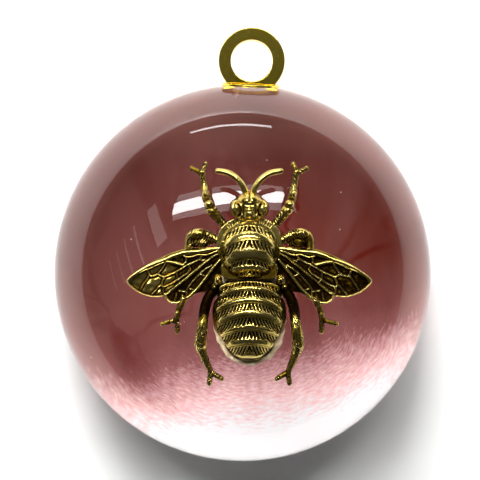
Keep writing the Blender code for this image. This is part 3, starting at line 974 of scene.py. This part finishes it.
# %% Wings
def nearness(places, line, width):
    """1 on the line, falling away over about its width."""
    best = np.full(len(places), 1e9)
    flat = places[:, [0, 2]]
    for start, end in zip(line[:-1], line[1:]):
        start, end = np.array(start), np.array(end)
        along = np.clip(((flat - start) @ (end - start)) / ((end - start) @ (end - start)), 0, 1)
        best = np.minimum(best, np.hypot(*(flat - start - along[:, None] * (end - start)).T))
    return np.exp(-(best / width) ** 2)


WING_VOXEL = 0.066
BROAD_VEIN = 0.2


def wing(name, outline, veins, bottom, floor_height, vein_height, shine):
    """A veined plate. Its heights are measured out from the bee's back, and shine brightens its tip."""
    plate = melted([slab(outline, bottom, vein_height)], name, WING_VOXEL, 3)
    places = points_of(plate)
    start = places.copy()
    raised = np.zeros(len(places))
    beside = np.zeros(len(places))
    for width, line in veins:
        raised = np.maximum(raised, nearness(places, line, (1.8 if width > BROAD_VEIN else 1.45) * width))
        beside = np.maximum(beside, nearness(places, line, 0.30 + 1.2 * width))
    grain = noise_at(start * (1.1, 0, 1.1))
    height = (floor_height - 0.10 + 0.15 * (1 - beside) + (vein_height - floor_height + 0.12) * raised
              + 0.10 * grain * (1 - raised))
    share = np.clip((-places[:, 1] - bottom) / (vein_height - bottom), 0, 1)
    places[:, 1] = -(bottom + share * (height - bottom))
    move_points(plate, places)
    speck = smooth(0.0, 0.5, noise_at(start * (3.4, 0, 3.4), shift=(0, 5, 0)))
    outer = smooth(9.0, 15.0, start[:, 0]) * shine
    floor = smooth(0.5, 0.9, -normals_of(plate)[:, 1]) * (1 - smooth(0.25, 0.6, raised))
    # Floors are darker with patina; towards the tip they are brighter, partly as wear and, where shine is high, as a
    # painted highlight.
    floor_patina_and_highlight = floor * (0.06 * beside + 0.20 - 0.12 * speck - (0.44 - 0.14 * speck) * outer)
    return mark_hollows_and_shade(plate, 0.10, 12, floor_patina_and_highlight - 0.12 * smooth(0.6, 0.9, raised), 0.0)


def both_wings(word, mirror):
    # The left forewing's larger shine, 0.9 against 0.3, is mostly a painted highlight where light falls on it.
    fore = wing("bee_forewing_" + word, FOREWING, FORE_VEINS, 0.35, 0.80, 1.30, 0.9 if mirror else 0.3)
    hind = wing("bee_hindwing_" + word, HINDWING, HIND_VEINS, 0.0, 0.35, 0.80, 0.2)
    for plate in (fore, hind):
        if mirror:
            plate.data.transform(Matrix.Scale(-1, 4, (1, 0, 0)))
            plate.data.flip_normals()
    return [fore, hind]


bee_parts += both_wings("right", False) + both_wings("left", True)
for part in bee_parts:
    set_on_dome(part)
    print(part.name, triangles(part))

# %% [markdown]
# Antique brass is dipped until it is dark, and then rubbed back, so the hollows stay nearly black and
# the high places shine. One node group turns the number for hollows and painted shade, and two noises,
# into three masks: how dark, how rubbed, and fine specks. The bee and the hanger both use it.

# %% Patina
patina, patina_in, patina_out = new_group(
    "patina", [("Hollow_and_shade", "NodeSocketFloat"), ("Place", "NodeSocketVector"), ("Cover", "NodeSocketFloat")],
    ["Dark", "Rubbed", "Specks"])
place, cover = patina_in.outputs["Place"], patina_in.outputs["Cover"]
cloud = minus(patina, noise_node(patina, place, 420.0, 4.0, 0.6), 0.5)
sunk = plus(patina, patina_in.outputs["Hollow_and_shade"], times(patina, cloud, 0.35))
low, high = plus(patina, cover, -0.12), plus(patina, cover, 0.12)
fill(patina, patina_out, {"Dark": map_range(patina, sunk, low, high, eased=True),
                          "Rubbed": map_range(patina, sunk, 0.44, 0.22),
                          "Specks": noise_node(patina, place, 3200.0, 2.0, 0.6)})

# %% [markdown]
# The metal itself is fully metallic everywhere. Patina is a dark, rougher metal, and worn brass a
# bright one. A grey layer of ordinary paint over the metal would look dusty instead. The specks also
# drive a faint bump.

# %% Antique brass
PATINA_BLACK = (0.020, 0.009, 0.001)


def brass(name, cover, low, high, roughness):
    """Patinated metal that goes from the low colour to the high one where it is rubbed."""
    material, tree, shader = new_material(name)
    marks = node(tree, "Group", {}, node_tree=patina).node
    fill(tree, marks, {"Hollow_and_shade": node(tree, "Attribute", {}, "Fac", attribute_name="hollow_and_shade"),
                       "Place": node(tree, "TexCoord", {}, "Object"), "Cover": cover})
    dark, rubbed, specks = marks.outputs
    worn = mix_colour(tree, dark, mix_colour(tree, rubbed, low, high), PATINA_BLACK)
    rough = plus(tree, times(tree, dark, 0.22), plus(tree, roughness, times(tree, specks, 0.12)))
    bump = node(tree, "Bump", {"Strength": 0.2, "Distance": 0.00006, "Height": specks}, "Normal")
    fill(tree, shader, {"Base Color": worn, "Metallic": 1.0, "Roughness": rough, "Normal": bump})
    return material


antique_brass = brass("antique_brass", 0.45, (0.48, 0.30, 0.022), (1.0, 0.80, 0.24), 0.18)
for part in bee_parts:
    part.data.materials.clear()
    part.data.materials.append(antique_brass)
    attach(part, "root")
    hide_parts("brass_bee")
print("bee", len(bee_parts), "pieces,", sum(triangles(part) for part in bee_parts), "triangles")

# %% [markdown]
# The bee's back is flat and the dome is round, so clear glue fills the gap. Some squeezed out round the
# abdomen and set as a bumpy, yellowish rim. It is a slab melted soft, with its back pressed onto the
# dome: every point behind the dome's face is brought nearly all the way to it. A hundredth of the
# distance is kept, so that no two points fall together and the mesh stays closed.

# %% Glue rim
PRESSED = 0.99
GLUE_OUTLINE = [(-6.7, -7.0), (-6.2, -11.2), (-4.4, -14.5), (-2.0, -16.0), (0, -16.3), (2.1, -16.0), (4.6, -14.5),
                (6.3, -11.2), (6.7, -7.0), (5.6, -2.0), (4.6, 2.0), (4.2, 6.0), (2.6, 8.0), (-2.6, 8.0), (-4.2, 6.0),
                (-4.6, 2.0), (-5.6, -2.0)]
glue = melted([slab(GLUE_OUTLINE, -4.0, 0.55)], "glue_rim", 0.16, 8)
places, normals = points_of(glue), normals_of(glue)
lumps = noise_at(places, 1.1) + 0.5 * noise_at(places, 0.45)
places += normals * (0.30 * lumps)[:, None] * smooth(-2.0, 0.2, -places[:, 1])[:, None]
across = (places[:, 0] * MM + BEE_X - DOME_X) / DOME_R
up = places[:, 2] * MM / DOME_R
dome_face = (-DOME_FRONT * np.sqrt(1 - across ** 2 - up ** 2) - BEE_BACK_Y) / MM
behind = np.clip(places[:, 1] - (dome_face - 0.06), 0, None)
places[:, 1] -= PRESSED * behind
move_points(glue, places)
set_on_dome(glue)
print("glue", triangles(glue))

# %% [markdown]
# Old glue is cloudy rather than clear, so it lets little light through, and a noise varies its colour
# and its gloss.

# %% Clear glue
clear_glue, tree, shader = new_material("clear_glue")
cloudy = noise_node(tree, node(tree, "TexCoord", {}, "Object"), 900.0, 3.0, 0.6)
fill(tree, shader, {"Base Color": mix_colour(tree, cloudy, (1.0, 0.86, 0.60), (0.74, 0.50, 0.24)),
                    "Roughness": plus(tree, times(tree, cloudy, 0.35), 0.12),
                    "Transmission Weight": 0.12, "IOR": 1.45})
glue.data.materials.append(clear_glue)
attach(glue, "root")
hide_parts("glue_pad")

# %% [markdown]
# The hanger is a stock fitting: a flat ring that stands on a thin round plate, with a peg below that
# goes down into the resin. All three are cylinders, so one helper adds a disc, another bevels its
# edges and evens out its flat faces, and a third leans a piece about the dome's middle.

# %% Hanger helpers
def disc(radius, depth, location, rotation=(0, 0, 0), sides=128):
    bpy.ops.mesh.primitive_cylinder_add(vertices=sides, radius=radius, depth=depth, location=location,
                                        rotation=rotation)
    return apply_place(bpy.context.object)


def soften(obj, width):
    """Bevel the edges and even out the shading of the flat faces."""
    bevel = obj.modifiers.new("edges", "BEVEL")
    bevel.width = width
    bevel.segments = 3
    bevel.limit_method = "ANGLE"
    bevel.angle_limit = math.radians(40)
    apply_modifiers(obj)
    bpy.ops.object.shade_smooth_by_angle(angle=math.radians(50))
    even = obj.modifiers.new("flat_faces", "WEIGHTED_NORMAL")
    even.keep_sharp = True
    return apply_modifiers(obj)


def lean(obj):
    """Turn about the dome's middle, as the whole hanger leans."""
    pivot = Matrix.Translation((DOME_X, 0, DOME_Z))
    obj.data.transform(pivot @ Matrix.Rotation(LEAN, 4, "Y") @ pivot.inverted())
    return obj

# %% [markdown]
# The ring is a disc with its bore cut by a Boolean, and its foot is sliced off level with the plate.

# %% Ring
RING_THICKNESS = 3.0 * MM
RING_DROP = 0.3 * MM
RING_FOOT = 38.1 * MM
BORE_R = 4.2 * MM
UPRIGHT = (math.radians(90), 0, 0)
ring_low, ring_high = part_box("hanging_ring")
RING_R = (ring_high[0] - ring_low[0]) / 2
ring_up = -RING_DROP + math.hypot(ring_high[2] - RING_R - DOME_Z, (ring_low[0] + ring_high[0]) / 2 - DOME_X)
ring = named(disc(RING_R, RING_THICKNESS, (DOME_X, 0, DOME_Z + ring_up), UPRIGHT), "hanging_ring_visual")
bore = disc(BORE_R, 8 * MM, (DOME_X, 0, DOME_Z + ring_up), UPRIGHT)
cut = ring.modifiers.new("bore", "BOOLEAN")
cut.operation = "DIFFERENCE"
cut.object = bore
apply_modifiers(ring)
bpy.data.objects.remove(bore)
slice_off(ring, (DOME_X, 0, DOME_Z + RING_FOOT), (0, 0, -1), clear_outer=True, use_fill=True)
lean(soften(ring, 0.16 * MM))
print("ring", triangles(ring))

# %% [markdown]
# The plate is thin, and tips forward slightly where it was soldered on. The peg was bent a little as it
# was pressed into its hole.

# %% Plate and peg
PLATE_R, PLATE_THICKNESS, PLATE_UP = 5.9 * MM, 0.5 * MM, 38.0 * MM
PEG_R, PEG_LENGTH, PEG_DOWN = 0.5 * MM, 7.4 * MM, 3.5 * MM
PEG_TOP = (DOME_X - 0.6 * MM, 0, DOME_Z + 37.5 * MM)
PLATE_TIP, PEG_BEND = math.radians(9.5), math.radians(17)
plate = soften(named(disc(PLATE_R, PLATE_THICKNESS, (0, 0, 0)), "ring_plate_visual"), 0.14 * MM)
plate.data.transform(Matrix.Translation((DOME_X, 0, DOME_Z + PLATE_UP)) @ Matrix.Rotation(PLATE_TIP, 4, "X"))
peg = soften(named(disc(PEG_R, PEG_LENGTH, (0, 0, -PEG_DOWN), sides=48), "ring_peg_visual"), 0.2 * MM)
peg.data.transform(Matrix.Translation(PEG_TOP) @ Matrix.Rotation(PEG_BEND, 4, "Y"))
for piece in (plate, peg):
    lean(piece)
    print(piece.name, triangles(piece))

# %% [markdown]
# The fitting is brightly gilt, apart from the peg, which is bare copper. Both are the same brass
# material with other colours, and one level number all over in place of the bee's hollows and painted
# shade, so only the noises show.

# %% Gilt and copper
gilt = brass("gilt", 0.95, (0.74, 0.56, 0.035), (0.90, 0.70, 0.10), 0.12)
copper = brass("copper_peg", 0.95, (0.50, 0.20, 0.13), (0.60, 0.26, 0.18), 0.35)
for piece, node in ((ring, "hanging_ring"), (plate, "ring_plate"), (peg, "ring_peg")):
    remember(piece, "hollow_and_shade", np.full(len(piece.data.vertices), 0.30))
    piece.data.materials.clear()
    piece.data.materials.append(copper if piece is peg else gilt)
    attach(piece, "root")
    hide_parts(node)
